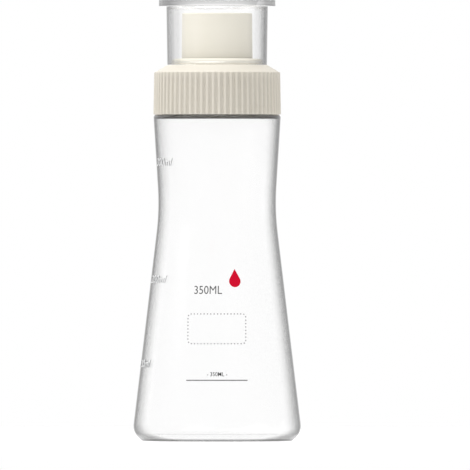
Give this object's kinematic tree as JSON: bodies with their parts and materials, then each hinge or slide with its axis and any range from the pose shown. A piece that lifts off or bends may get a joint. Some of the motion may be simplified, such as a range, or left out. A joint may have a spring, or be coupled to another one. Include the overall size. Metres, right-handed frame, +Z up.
{
  "type": "sugar shaker",
  "caption": "Waisted translucent shaker bottle with a ribbed screw collar, a sieve tower and a clear lift-off cover with a wide rim.",
  "frame": {"origin": "centre of the base, on the plane that the bottle stands on", "axes": "+Z up along the bottle's axis; -Y is the front, the side with the printed panel"},
  "size_m": [0.0716, 0.0716, 0.189],
  "materials": {
    "frosted_plastic": "satin translucent white",
    "silicone": "matte silicone",
    "cream_plastic": "satin cream",
    "steel_mesh": "woven stainless",
    "clear_plastic": "clear polished plastic"
  },
  "bodies": {
    "bottle": {"bottle": "frosted_plastic"},
    "thread_carrier": {"neck_seal": "silicone"},
    "closure": {"screw_collar": "cream_plastic", "sieve_head": "cream_plastic", "sieve_mesh": "steel_mesh", "mesh_ring": "cream_plastic"},
    "cover": {"clear_cover": "clear_plastic"}
  },
  "joints": [
    {"name": "collar_lift", "type": "slide", "parent": "bottle", "child": "thread_carrier", "axis": [0, 0, 1], "range_m": [0, 0.018]},
    {"name": "collar_turn", "type": "hinge", "parent": "thread_carrier", "child": "closure", "pos_m": [0, 0, 0.14], "axis": [0, 0, 1], "range_deg": [0, 1080]},
    {"name": "cover_lift", "type": "slide", "parent": "closure", "child": "cover", "axis": [0, 0, 1], "range_m": [0, 0.03]}
  ],
  "couplings": [
    {"joint": "collar_lift", "follows": "collar_turn", "m_per_rad": 0.0009549}
  ]
}
